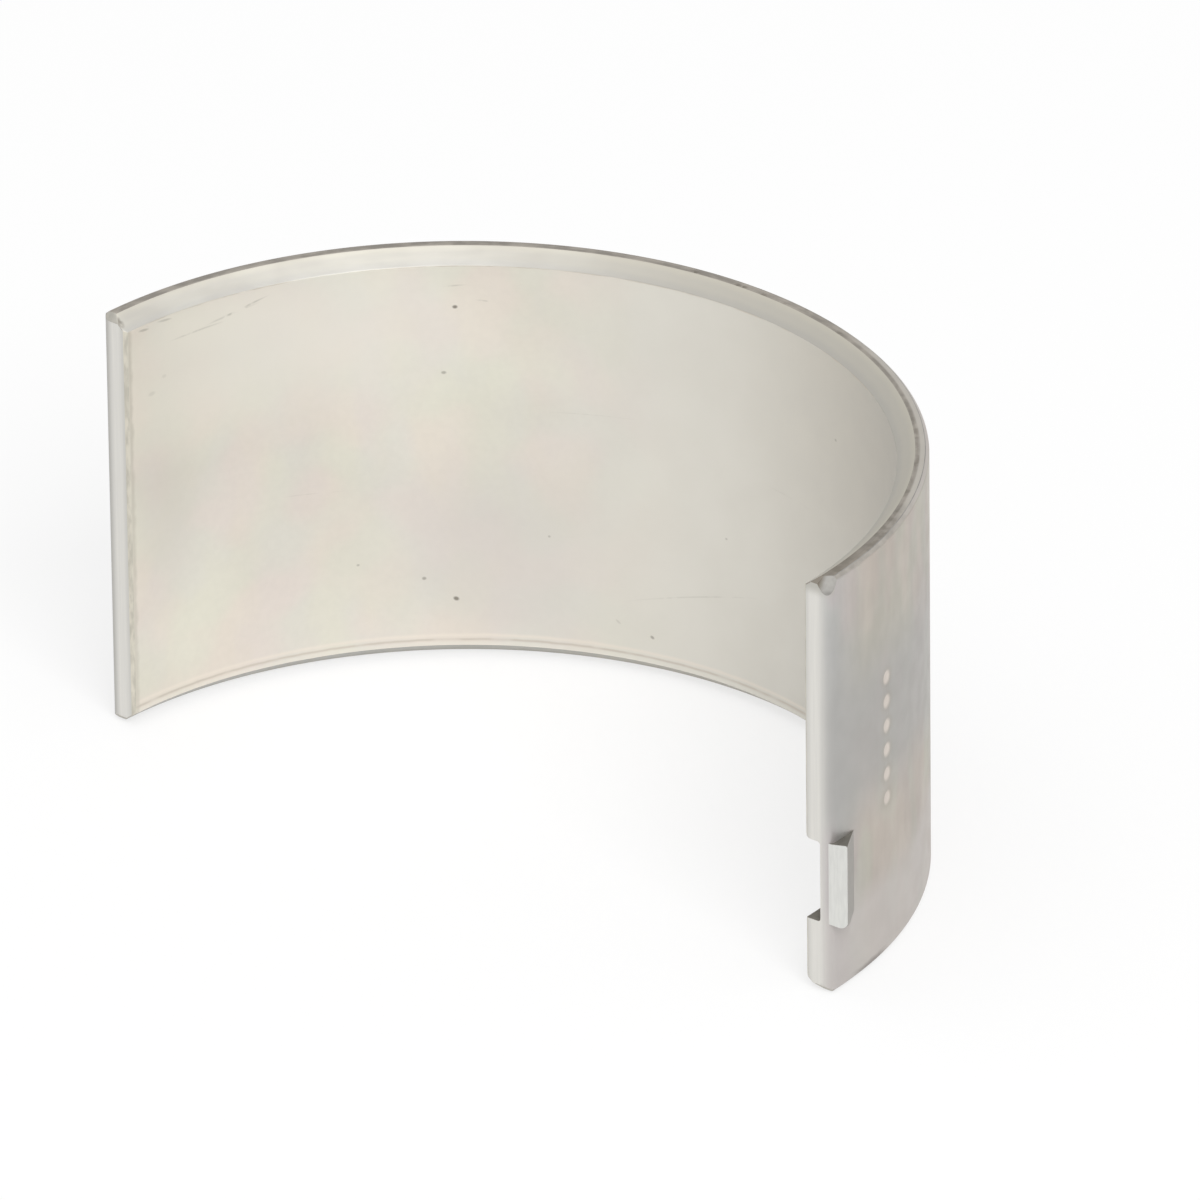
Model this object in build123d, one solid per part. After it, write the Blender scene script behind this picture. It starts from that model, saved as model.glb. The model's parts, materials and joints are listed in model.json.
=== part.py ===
from build123d import *
import math
import os

# Thin-wall half bearing for a big end or main journal, in millimetres.
# Z is the journal axis, and the origin is on that axis at the middle of the width.
# The shell stands on its lower side face. The wall arches towards +Y, and the joint
# faces look towards -Y. The locating tang is at the +X end, below the middle.

# The ring
housing_bore = 66.0            # the seat that the shell is pressed into
free_spread = 1.2              # how much wider than its seat the unfitted shell stands
wall_thickness = 2.3
shell_width = 32.6
bore_bevel_width = 1.0         # bevel on both rims of the bore, along the axis
bore_bevel_depth = 1.3         # and into the wall
back_chamfer = 0.3             # 45 degree edge break on both rims of the back

# The edges of the two joint faces
joint_bore_break = 0.25        # small bevel along the bore
joint_back_radius = 0.7        # rounding along the back, left by the blanking die
joint_side_break = 0.5         # bevel along the two side faces

# The locating tang, and the pocket that its punch leaves in the bore
tang_width = 6.4
tang_centre_height = 8.7       # from the lower side face to the middle of the tang
tang_height = 1.5              # how far the tang stands out of the back
tang_length = 2.8              # along the back, from the joint face to the foot of the ramp
tang_setback = 0.15            # the tang's end stays behind the joint face
tang_bend_radius = 0.8         # where the ramp runs into the back
tang_lean = 12.0               # degrees by which the tang's upper side rises outwards
tang_upper_corner = 0.3        # radius on the upper outer corner of the tang's end
tang_lower_corner = 0.9        # and on the lower one
pocket_depth = 1.4
pocket_clearance = 0.05        # the punch is this much narrower than the tang on each side
pocket_corner = 0.25           # radius in the deep corners of the pocket
pocket_upper_roll = 0.6        # radius where the upper side of the pocket rolls into the bore
pocket_lower_roll = 0.25       # and the lower side

# The knocked corner: the upper outer one at the tang's end
knock_along_wall = 1.4         # from the back, across the joint face
knock_along_edge = 1.8         # down the edge between the joint face and the back
knock_along_rim = 1.2          # round the rim of the back

# What follows from the sizes above
arc_angle = 180.0 * housing_bore / (housing_bore + free_spread)
joint_tilt = (180.0 - arc_angle) / 2
back_radius = (housing_bore + free_spread) / 2
bore_radius = back_radius - wall_thickness
half_width = shell_width / 2
tang_low = tang_centre_height - tang_width / 2 - half_width
tang_high = tang_low + tang_width


def half_ring():
    """The curved strip, with bevelled rims and broken edges round each joint face."""
    section = Polyline(
        (bore_radius, half_width - bore_bevel_width),
        (bore_radius + bore_bevel_depth, half_width),
        (back_radius - back_chamfer, half_width),
        (back_radius, half_width - back_chamfer),
        (back_radius, back_chamfer - half_width),
        (back_radius - back_chamfer, -half_width),
        (bore_radius + bore_bevel_depth, -half_width),
        (bore_radius, bore_bevel_width - half_width),
        close=True,
    )
    ring = revolve(Plane.XZ * make_face(section), Axis.Z, arc_angle)
    ring = fillet(joint_edges(ring, back_radius), joint_back_radius)
    ring = chamfer(joint_edges(ring, bore_radius), joint_bore_break)
    far_breaks = Rot(0, 0, arc_angle) * mirror(side_breaks(), Plane.XZ)
    return ring - side_breaks() - far_breaks


def joint_edges(ring, radius):
    """The two upright edges where the joint faces meet the bore or the back."""

    def is_near(edge):
        centre = edge.center()
        return abs(math.hypot(centre.X, centre.Y) - radius) < joint_bore_break / 2

    return ring.edges().filter_by(Axis.Z).filter_by(is_near)


def side_breaks():
    """Two wedges that bevel the joint face in the plane y = 0 along the side faces."""
    far = 2 * joint_side_break
    corner = Polyline(
        (-far, -far - joint_side_break),
        (far, far - joint_side_break),
        (-far, far - joint_side_break),
        close=True,
    )
    wedge = extrude(Plane.YZ * Pos(0, half_width) * make_face(corner), back_radius + wall_thickness)
    return wedge + mirror(wedge, Plane.XY)


def knock():
    """What a knock has taken off the corner: a block beyond a slanting plane."""
    turn = knock_along_rim / back_radius
    on_wall = Vector(back_radius - knock_along_wall, 0, half_width)
    on_edge = Vector(back_radius, 0, half_width - knock_along_edge)
    on_rim = Vector(back_radius * math.cos(turn), back_radius * math.sin(turn), half_width)
    outward = (on_edge - on_wall).cross(on_rim - on_wall)
    slant = Plane(origin=on_wall, x_dir=on_edge - on_wall, z_dir=outward)
    size = 4 * max(knock_along_wall, knock_along_edge, knock_along_rim)
    return slant * Box(size, size, size, align=(Align.CENTER, Align.CENTER, Align.MIN))


def bent_step(base_radius, rise, start, under):
    """A straight ramp that falls to a circle and runs into it with a bend.

    The ramp stands clear of the circle by the rise in the plane of the joint face, and
    reaches it after the tang's length. It begins at the start, measured from that plane,
    and its block goes down inside the circle by as much as it is told.
    """
    top = Vector(base_radius + rise, 0)
    foot_angle = tang_length / base_radius
    foot = Vector(math.cos(foot_angle), math.sin(foot_angle)) * base_radius
    slope = (foot - top).normalized()
    outward = Vector(slope.Y, -slope.X)
    # The bend is an arc that touches the ramp and the circle, with its centre outside both.
    raised = top + outward * tang_bend_radius
    reach = base_radius + tang_bend_radius
    along = -raised.dot(slope)
    run = along - math.sqrt(along**2 - raised.dot(raised) + reach**2)
    bend_centre = raised + slope * run
    ramp_end = bend_centre - outward * tang_bend_radius
    circle_point = bend_centre * (base_radius / reach)
    halfway = (outward + bend_centre.normalized()).normalized()
    bend_middle = bend_centre - halfway * tang_bend_radius
    ramp_start = top + slope * (start / slope.Y)
    below_circle = circle_point * ((base_radius - under) / base_radius)
    below_start = Vector(base_radius - under, start)
    outline = (
        Line(below_start, ramp_start)
        + Line(ramp_start, ramp_end)
        + ThreePointArc(ramp_end, bend_middle, circle_point)
        + Line(circle_point, below_circle)
        + Line(below_circle, below_start)
    )
    return extrude(make_face(outline), shell_width, both=True)


def sheared_block(corners, radii):
    """A section seen from the joint face, rounded at some corners and turned about the axis."""
    section = make_face(Polyline(*corners, close=True))
    for corner, radius in radii.items():
        section = fillet(section.vertices().sort_by_distance(corner)[0], radius)
    span = math.degrees(3 * tang_length / bore_radius)
    return Rot(0, 0, -span) * revolve(Plane.XZ * section, Axis.Z, 2 * span)


def tang():
    """The strip of wall that is sheared on both sides and pushed outwards."""
    outside = back_radius + tang_height
    risen = tang_high + tang_height * math.tan(math.radians(tang_lean))
    corners = [
        (bore_radius, tang_low), (outside, tang_low), (outside, risen),
        (back_radius, tang_high), (bore_radius, tang_high),
    ]
    radii = {(outside, tang_low): tang_lower_corner, (outside, risen): tang_upper_corner}
    ramp = bent_step(back_radius, tang_height, tang_setback, wall_thickness / 2)
    return ramp & sheared_block(corners, radii)


def pocket():
    """The hollow that the punch leaves in the bore, open at the joint face."""
    low, high = tang_low + pocket_clearance, tang_high - pocket_clearance
    inside, deep = bore_radius - wall_thickness, bore_radius + pocket_depth
    # Inside the bore the section is wider, so that the rolled edges run out into the bore.
    wide_low, wide_high = low - 2 * pocket_lower_roll, high + 2 * pocket_upper_roll
    corners = [
        (inside, wide_low), (bore_radius, wide_low), (bore_radius, low), (deep, low),
        (deep, high), (bore_radius, high), (bore_radius, wide_high), (inside, wide_high),
    ]
    radii = {
        (bore_radius, low): pocket_lower_roll, (deep, low): pocket_corner,
        (deep, high): pocket_corner, (bore_radius, high): pocket_upper_roll,
    }
    ramp = bent_step(bore_radius, pocket_depth, -wall_thickness, wall_thickness)
    return ramp & sheared_block(corners, radii)


def bearing_shell():
    """The whole shell, turned so that both joint faces tilt alike about the crown."""
    shell = half_ring() - knock() + tang() - pocket()
    return Rot(0, 0, joint_tilt) * shell


os.makedirs("parts", exist_ok=True)
export_step(bearing_shell(), "parts/bearing_shell.step")
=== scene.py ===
import json
import math

import bmesh
import bpy
from bpy.props import FloatProperty, FloatVectorProperty, IntProperty, PointerProperty
from mathutils import Matrix, Vector


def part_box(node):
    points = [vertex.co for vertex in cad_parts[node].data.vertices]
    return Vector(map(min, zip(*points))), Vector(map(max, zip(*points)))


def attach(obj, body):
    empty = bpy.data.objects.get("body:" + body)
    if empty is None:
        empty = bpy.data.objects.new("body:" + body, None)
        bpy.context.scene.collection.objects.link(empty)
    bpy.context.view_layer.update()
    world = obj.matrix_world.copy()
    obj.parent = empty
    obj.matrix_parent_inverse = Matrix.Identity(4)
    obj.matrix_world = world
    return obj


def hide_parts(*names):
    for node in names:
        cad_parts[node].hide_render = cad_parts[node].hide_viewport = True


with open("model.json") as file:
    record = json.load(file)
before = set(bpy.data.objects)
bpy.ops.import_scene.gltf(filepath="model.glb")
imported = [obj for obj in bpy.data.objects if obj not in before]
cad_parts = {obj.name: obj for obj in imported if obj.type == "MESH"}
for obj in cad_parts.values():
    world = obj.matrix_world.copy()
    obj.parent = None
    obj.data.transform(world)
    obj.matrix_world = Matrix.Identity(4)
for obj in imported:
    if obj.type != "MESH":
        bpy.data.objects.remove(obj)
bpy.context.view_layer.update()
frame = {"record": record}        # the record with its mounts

bl_info = {
    "name": "Engine bearing shell",
    "version": (1, 0, 0),
    "blender": (4, 5, 0),
    "location": "3D View > Sidebar > Bearing",
    "description": "Models and finishes a half bearing shell round its packed solid, on a plain studio floor",
    "category": "Add Mesh",
}

MM = 0.001
CAD_NODE = "bearing_shell"

# How finely the piece is modelled
MERGE_DISTANCE = 0.001 * MM        # vertices this close become one
SAME_PLACE = 0.01 * MM             # places this close count as one when vertices are picked
CUTTER_SIZE = 6 * MM               # side of the block that stands behind a cutting plane
ROUNDING_STEPS = 8
CORNER_SEGMENTS = 6
SWEEP_STEPS = 24
SOFTENED_ANGLE = math.radians(25)  # edges that turn by more than this are softened
SMOOTH_ANGLE = math.radians(32)    # shading breaks at edges that turn by more than this

# The stage's fixed values
SENSOR_WIDTH = 36                  # of the camera, in millimetres
SOFTBOXES = (                      # name, place, side in metres and power in watts
    ("key_softbox", (1.05, -0.62, 1.10), 0.8, 15.0),
    ("overhead_softbox", (-0.1, -0.1, 1.7), 1.8, 8.0),
)

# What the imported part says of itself
MOUNTS = {mount["name"]: mount for mount in frame["record"]["mounts"]}
LOW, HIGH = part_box(CAD_NODE)
SHELL_WIDTH = HIGH.z - LOW.z
BORE = MOUNTS["journal"]["dims"]
SEAT = MOUNTS["housing_seat"]["dims"]
TANG = MOUNTS["locating_tang"]
JOINT_AXIS = Vector(MOUNTS["joint_face_tang_end"]["axis"])


# Sizes and colours that a user would change

def a_length(name, description, default):
    """A length that the sidebar shows."""
    return FloatProperty(name=name, description=description, subtype="DISTANCE", precision=5, default=default)


def an_angle(name, description, default):
    """An angle that the sidebar shows."""
    return FloatProperty(name=name, description=description, subtype="ANGLE", default=default)


def a_colour(name, description, red, green, blue):
    """A colour that the sidebar shows."""
    return FloatVectorProperty(
        name=name, description=description, subtype="COLOR", size=3, min=0, max=1, default=(red, green, blue),
    )


class ShellSizes(bpy.types.PropertyGroup):
    """The curved strip, its bevels, its two joint faces and the pips on its back."""

    bore_radius: a_length("Bore radius", "Radius of the running surface", BORE["r_mm"] * MM)
    back_radius: a_length("Back radius", "Radius of the back, before fitting", SEAT["r_mm"] * MM)
    width: a_length("Width", "From one side face to the other", SHELL_WIDTH)
    bore_bevel_width: a_length(
        "Bore bevel width", "Along the axis, on both rims of the bore",
        (SHELL_WIDTH - BORE["length_mm"] * MM) / 2,
    )
    bore_bevel_depth: a_length("Bore bevel depth", "Into the wall, on both rims of the bore", 1.3 * MM)
    back_chamfer: a_length(
        "Back edge break", "Bevel on both rims of the back", (SHELL_WIDTH - SEAT["length_mm"] * MM) / 2,
    )
    joint_tilt: an_angle(
        "Joint tilt", "How far each joint face leans from the plane of the axis",
        math.atan2(JOINT_AXIS.x, -JOINT_AXIS.y),
    )
    joint_bore_break: a_length("Joint bore break", "Small bevel between joint face and bore", 0.25 * MM)
    joint_back_radius: a_length("Joint back radius", "Rounding between joint face and back", 0.7 * MM)
    joint_side_break: a_length("Joint side break", "Bevel between joint face and side faces", 0.5 * MM)
    knock: FloatVectorProperty(
        name="Knocked corner", size=3, subtype="XYZ_LENGTH", precision=5,
        description="Taken off across the joint face, round the rim and down the edge",
        default=(1.4 * MM, 1.2 * MM, 1.8 * MM),
    )
    edge_softness: a_length("Edge softness", "Radius that plating and tumbling leave on edges", 0.07 * MM)
    arc_steps: IntProperty(name="Arc steps", description="Steps round the half ring", default=280, min=40)
    pips: IntProperty(name="Pips", description="Punched pips in a column on the back", default=6, min=0)
    pip_radius: a_length("Pip radius", "Radius of one pip on the back", 0.55 * MM)
    pip_depth: a_length("Pip depth", "How deep a pip is punched", 0.1 * MM)
    pip_pitch: a_length("Pip pitch", "From one pip to the next", 1.9 * MM)
    pip_turn: an_angle("Pip turn", "How far round the back the column of pips stands", math.radians(14.8))
    pip_height: a_length("Pip height", "Middle of the column, from the middle of the width", 0.65 * MM)


class TangSizes(bpy.types.PropertyGroup):
    """The locating tang, and the pocket that its punch leaves in the bore."""

    width: a_length("Tang width", "Between its two sheared sides", TANG["dims"]["length_mm"] * MM)
    height_on_shell: a_length("Tang place", "Its middle, from the middle of the width", TANG["pos_m"][2])
    rise: a_length("Tang rise", "How far it stands out of the back", 1.5 * MM)
    length: a_length("Tang length", "Along the back, to the foot of the ramp", 2.8 * MM)
    setback: a_length("Tang setback", "Its end stays behind the joint face", 0.15 * MM)
    bend_radius: a_length("Bend radius", "Where the ramp runs into the back", 0.8 * MM)
    lean: an_angle("Tang lean", "How far its upper side rises outwards", math.radians(12))
    upper_corner: a_length("Upper corner", "Radius at the upper outer corner of its end", 0.3 * MM)
    lower_corner: a_length("Lower corner", "Radius at the lower outer corner of its end", 0.9 * MM)
    pocket_depth: a_length("Pocket depth", "How deep the punch goes into the bore", 1.4 * MM)
    pocket_clearance: a_length("Pocket clearance", "The punch is this much narrower on each side", 0.05 * MM)
    pocket_corner: a_length("Pocket corner", "Radius in the deep corners of the pocket", 0.25 * MM)
    pocket_upper_roll: a_length("Upper roll", "Radius where the upper side rolls into the bore", 0.6 * MM)
    pocket_lower_roll: a_length("Lower roll", "Radius where the lower side rolls into the bore", 0.25 * MM)


class FinishColours(bpy.types.PropertyGroup):
    """Colours of the plated and the cut surfaces."""

    bore: a_colour("Bore", "Satin overlay of the running surface", 0.77, 0.735, 0.655)
    bevel: a_colour("Bore bevels", "Cut bevels of the bore", 0.625, 0.605, 0.55)
    back: a_colour("Back", "Flash plating over the steel back", 0.46, 0.44, 0.42)
    back_rim: a_colour("Back edge break", "Thin bevel round the back", 0.44, 0.41, 0.37)
    # The side faces look up, and their dark colour is painted shade.
    side: a_colour("Side faces", "Turned side faces with an oil film", 0.36, 0.33, 0.29)
    joint: a_colour("Joint faces", "Broached joint faces", 0.74, 0.725, 0.685)
    joint_break: a_colour("Joint bore break", "Stained edge between joint face and bore", 0.60, 0.57, 0.49)
    # Painted shade: the bevels between joint and side faces are a darker grey.
    side_break: a_colour("Joint side breaks", "Bevels between joint face and side faces", 0.50, 0.48, 0.43)
    knocked: a_colour("Knocked corner", "Flattened corner with a smear of dirt", 0.31, 0.30, 0.28)
    # Painted shade: the sheared sides are painted dark.
    sheared: a_colour("Sheared sides", "Sides of the tang and of its pocket", 0.21, 0.20, 0.175)
    # Painted shade: the ramp is darker than the back.
    ramp: a_colour("Tang ramp", "Outer side of the tang", 0.36, 0.345, 0.32)
    lug_end: a_colour("Tang end", "Cut end of the tang", 0.72, 0.72, 0.69)
    dirt: a_colour("Dirt", "Specks and dirt in scratches", 0.12, 0.10, 0.07)


class StudioSettings(bpy.types.PropertyGroup):
    """The floor, the room light and the camera."""

    azimuth: an_angle("Azimuth", "Camera's turn about the axis of the journal", math.radians(40.39))
    elevation: an_angle("Elevation", "Camera's height above the level", math.radians(27.16))
    roll: an_angle("Roll", "Camera's turn about its own axis", math.radians(-0.68))
    distance: a_length("Distance", "From the camera to the point it looks at", 1.516)
    aim: FloatVectorProperty(
        name="Aim", description="The point that the camera looks at", size=3, subtype="TRANSLATION",
        precision=5, default=(2.055 * MM, 13.504 * MM, -0.306 * MM),
    )
    lens: FloatProperty(
        name="Lens", description="Focal length, in millimetres", subtype="DISTANCE_CAMERA", default=640.1,
    )
    floor_size: a_length("Floor size", "Side of the floor", 9.0)
    floor_glow: FloatProperty(
        name="Floor glow", description="Share of the floor's look that glows", subtype="FACTOR", min=0, max=1,
        default=0.7,
    )
    world_level: FloatProperty(name="Room light", description="Strength of the even room light", default=0.57)


# Hands: the few operator calls that every piece is made with

def start_piece():
    """Object mode with nothing selected, so that an operator acts on the new piece alone."""
    if bpy.context.object and bpy.context.object.mode != "OBJECT":
        bpy.ops.object.mode_set(mode="OBJECT")
    bpy.ops.object.select_all(action="DESELECT")


def settle(name):
    """Names the new piece and puts its place and size into its mesh."""
    piece = bpy.context.object
    piece.name = piece.data.name = name
    bpy.ops.object.transform_apply(location=True, rotation=True, scale=True)
    return piece


def take(piece):
    """Makes one piece the selected and active one."""
    start_piece()
    piece.select_set(True)
    bpy.context.view_layer.objects.active = piece


def pick(piece, kind, chosen):
    """Selects, in edit mode, the vertices, edges or faces that a test picks by their place or normal."""
    bpy.ops.mesh.select_mode(type=kind)
    bpy.ops.mesh.select_all(action="DESELECT")
    mesh = bmesh.from_edit_mesh(piece.data)
    parts = {"VERT": mesh.verts, "EDGE": mesh.edges, "FACE": mesh.faces}[kind]
    for part in parts:
        if chosen(part):
            part.select_set(True)
    mesh.select_flush_mode()
    bmesh.update_edit_mesh(piece.data)


def begin_edit():
    bpy.ops.object.mode_set(mode="EDIT")


def end_edit():
    """Merges doubles, turns the faces outwards and leaves edit mode."""
    bpy.ops.mesh.select_all(action="SELECT")
    bpy.ops.mesh.remove_doubles(threshold=MERGE_DISTANCE)
    bpy.ops.mesh.normals_make_consistent(inside=False)
    bpy.ops.object.mode_set(mode="OBJECT")


def apply_modifier(piece, kind, **settings):
    """Adds one modifier, sets it and applies it."""
    take(piece)
    modifier = piece.modifiers.new(kind.title(), kind)
    for key, value in settings.items():
        setattr(modifier, key, value)
    bpy.ops.object.modifier_apply(modifier=modifier.name)


def combine(piece, tool, operation):
    """Joins, cuts or crosses a piece with a tool solid, which is used up."""
    apply_modifier(piece, "BOOLEAN", object=tool, operation=operation, solver="EXACT")
    bpy.data.objects.remove(tool, do_unlink=True)


def start_path(name, place):
    """A new piece that is one vertex, ready to be extruded from corner to corner."""
    start_piece()
    bpy.ops.mesh.primitive_plane_add(size=MM)
    piece = settle(name)
    begin_edit()
    bpy.ops.mesh.select_mode(type="VERT")
    bpy.ops.mesh.merge(type="CENTER")
    bpy.ops.mesh.select_all(action="SELECT")
    bpy.ops.transform.translate(value=place)
    return piece


def extrude_to(step):
    bpy.ops.mesh.extrude_vertices_move(TRANSFORM_OT_translate={"value": step})


def fill_path():
    """Closes the path into one face."""
    bpy.ops.mesh.select_all(action="SELECT")
    bpy.ops.mesh.remove_doubles(threshold=MERGE_DISTANCE)
    bpy.ops.mesh.edge_face_add()
    bpy.ops.mesh.select_all(action="SELECT")


def seat(tool, tilt, side=1):
    """Turns a tool that is made with the joint face level to one end; side -1 is the plain end."""
    take(tool)
    tool.scale.x = side
    tool.rotation_euler.z = side * tilt
    bpy.ops.object.transform_apply(location=True, rotation=True, scale=True)
    begin_edit()
    end_edit()
    return tool


def plane_cutter(name, point, outward, tall=CUTTER_SIZE):
    """A block that takes off all that lies beyond a plane near a point."""
    outward = Vector(outward).normalized()
    start_piece()
    bpy.ops.mesh.primitive_cube_add(
        size=1, location=Vector(point) + outward * CUTTER_SIZE / 2,
        rotation=outward.to_track_quat("X", "Z").to_euler(),
    )
    bpy.context.object.scale = (CUTTER_SIZE, CUTTER_SIZE, tall)
    return settle(name)


# The curved strip

def add_strip(sizes):
    """The wall's section, bevelled at its corners and spun round the journal's axis."""
    wall = sizes.back_radius - sizes.bore_radius
    middle = sizes.bore_radius + wall / 2
    start_piece()
    bpy.ops.mesh.primitive_plane_add(size=1, location=(middle, 0, 0), rotation=(math.pi / 2, 0, 0))
    bpy.context.object.scale = (wall, sizes.width, 1)
    strip = settle("bearing_shell_finished")
    begin_edit()
    pick(strip, "VERT", lambda vert: vert.co.x < middle)
    bpy.ops.mesh.bevel(offset=sizes.bore_bevel_width, affect="VERTICES")
    # The bevel goes deeper into the wall than along the axis.
    pick(strip, "VERT", lambda vert: sizes.bore_radius + SAME_PLACE < vert.co.x < middle)
    bpy.ops.transform.translate(value=(sizes.bore_bevel_depth - sizes.bore_bevel_width, 0, 0))
    pick(strip, "VERT", lambda vert: vert.co.x > sizes.back_radius - sizes.back_chamfer / 2)
    bpy.ops.mesh.bevel(offset=sizes.back_chamfer, affect="VERTICES")
    bpy.ops.mesh.select_all(action="SELECT")
    # With no window a spin turns the other way.
    arc = math.pi - 2 * sizes.joint_tilt
    bpy.ops.mesh.spin(steps=sizes.arc_steps, angle=-arc, center=(0, 0, 0), axis=(0, 0, 1))
    end_edit()
    seat(strip, sizes.joint_tilt)
    for side in (1, -1):
        for tool in joint_tools(sizes):
            combine(strip, seat(tool, sizes.joint_tilt, side), "DIFFERENCE")
    apply_modifier(
        strip, "BEVEL", width=sizes.edge_softness, segments=2, limit_method="ANGLE",
        angle_limit=SOFTENED_ANGLE, use_clamp_overlap=False,
    )
    combine(strip, seat(knock_cutter(sizes), sizes.joint_tilt), "DIFFERENCE")
    for height in pip_heights(sizes):
        combine(strip, pip_punch(sizes, height), "DIFFERENCE")
    return strip


def joint_tools(sizes):
    """Cutters for a joint face in the plane y = 0: bore break, side breaks and back rounding."""
    half, middle = sizes.width / 2, (sizes.bore_radius + sizes.back_radius) / 2
    small, side = sizes.joint_bore_break / 2, sizes.joint_side_break / 2
    in_bore = (sizes.bore_radius + small, small, 0)
    tools = [plane_cutter("bore_break", in_bore, (-1, -1, 0), 2 * sizes.width)]
    for up in (1, -1):
        tools.append(plane_cutter("side_break", (middle, side, up * (half - side)), (0, -1, up)))
    tools.append(back_rounding(sizes))
    return tools


def back_rounding(sizes):
    """What the rounding takes off the corner between the joint face and the back."""
    radius, outer = sizes.joint_back_radius, sizes.back_radius + sizes.joint_back_radius
    inner = sizes.back_radius - radius
    centre = Vector((math.sqrt(inner**2 - radius**2), radius, 0))
    # A hair more than the radius lets the tool cross both surfaces, where it would only touch them.
    hair = 0.004 * MM
    on_back = centre * ((sizes.back_radius + hair) / inner)
    below = Vector((centre.x, -radius, 0))
    down = Vector((0, 0, -sizes.width))
    tool = start_path("back_rounding", on_back + down)
    extrude_to(Vector((outer, on_back.y, 0)) - on_back)
    extrude_to((0, -radius - on_back.y, 0))
    extrude_to((centre.x - outer, 0, 0))
    extrude_to((0, radius - hair, 0))
    turn = (on_back - centre).angle(below - centre)
    bpy.ops.mesh.spin(steps=ROUNDING_STEPS, angle=-turn, center=centre + down, axis=(0, 0, 1))
    fill_path()
    bpy.ops.mesh.extrude_region_move(TRANSFORM_OT_translate={"value": (0, 0, 2 * sizes.width)})
    end_edit()
    return tool


def knock_cutter(sizes):
    """The slanting plane that a knock has left at the upper outer corner of the tang's end."""
    across, round_rim, down = sizes.knock
    half, turn = sizes.width / 2, round_rim / sizes.back_radius
    on_wall = Vector((sizes.back_radius - across, 0, half))
    on_edge = Vector((sizes.back_radius, 0, half - down))
    on_rim = Vector((sizes.back_radius * math.cos(turn), sizes.back_radius * math.sin(turn), half))
    return plane_cutter("knock", on_wall, (on_edge - on_wall).cross(on_rim - on_wall))


def pip_heights(sizes):
    """The heights of the pips in their column, from the lowest up."""
    lowest = sizes.pip_height - (sizes.pips - 1) / 2 * sizes.pip_pitch
    return [lowest + index * sizes.pip_pitch for index in range(sizes.pips)]


def pip_punch(sizes, height):
    """A ball that presses one shallow pip into the back."""
    ball = (sizes.pip_radius**2 + sizes.pip_depth**2) / (2 * sizes.pip_depth)
    reach, turn = sizes.back_radius + ball - sizes.pip_depth, sizes.pip_turn
    start_piece()
    bpy.ops.mesh.primitive_uv_sphere_add(
        segments=48, ring_count=40, radius=ball, rotation=(0, math.radians(-90), turn),
        location=(reach * math.cos(turn), reach * math.sin(turn), height),
    )
    return settle("pip_punch")


# The tang and its pocket

def ramp_block(name, base_radius, rise, start, under, sizes, half_width):
    """A wedge whose slope falls to a circle and runs into it with a bend.

    The slope stands clear of the circle by the rise in the plane of the joint face and
    reaches it after the tang's length.
    """
    top = Vector((base_radius + rise, 0, 0))
    foot_angle = sizes.length / base_radius
    foot = Vector((math.cos(foot_angle), math.sin(foot_angle), 0)) * base_radius
    slope = (foot - top).normalized()
    outward = Vector((slope.y, -slope.x, 0))
    raised = top + outward * sizes.bend_radius
    reach = base_radius + sizes.bend_radius
    along = -raised.dot(slope)
    run = along - math.sqrt(along**2 - raised.length_squared + reach**2)
    bend_centre = raised + slope * run
    ramp_end = bend_centre - outward * sizes.bend_radius
    bend_end = bend_centre * (base_radius / reach)
    bend_angle = (ramp_end - bend_centre).angle(bend_end - bend_centre)
    ramp_start = top + slope * (start / slope.y)
    block_start = Vector((base_radius - under, start, 0))
    block_end = bend_end * ((base_radius - under) / base_radius)
    down = Vector((0, 0, -half_width))

    block = start_path(name, block_start + down)
    extrude_to(ramp_start - block_start)
    extrude_to(ramp_end - ramp_start)
    bpy.ops.mesh.spin(steps=ROUNDING_STEPS, angle=bend_angle, center=bend_centre + down, axis=(0, 0, 1))
    extrude_to(block_end - bend_end)
    fill_path()
    bpy.ops.mesh.extrude_region_move(TRANSFORM_OT_translate={"value": (0, 0, 2 * half_width)})
    end_edit()
    return block


def sheared_block(name, corners, span):
    """A section drawn through corners of (radius, height, rounding), swept both ways round the axis."""
    places = [Vector((radius, 0, height)) for radius, height, rounding in corners]
    block = start_path(name, places[0])
    for here, there in zip(places, places[1:]):
        extrude_to(there - here)
    fill_path()
    for place, (radius, height, rounding) in zip(places, corners):
        if rounding:
            pick(block, "VERT", lambda vert: (vert.co - place).length < SAME_PLACE)
            bpy.ops.mesh.bevel(offset=rounding, segments=CORNER_SEGMENTS, affect="VERTICES")
    bpy.ops.mesh.select_all(action="SELECT")
    bpy.ops.transform.rotate(value=span, orient_axis="Z", center_override=(0, 0, 0))
    bpy.ops.mesh.select_all(action="SELECT")
    bpy.ops.mesh.spin(steps=SWEEP_STEPS, angle=-2 * span, center=(0, 0, 0), axis=(0, 0, 1))
    end_edit()
    return block


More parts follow.
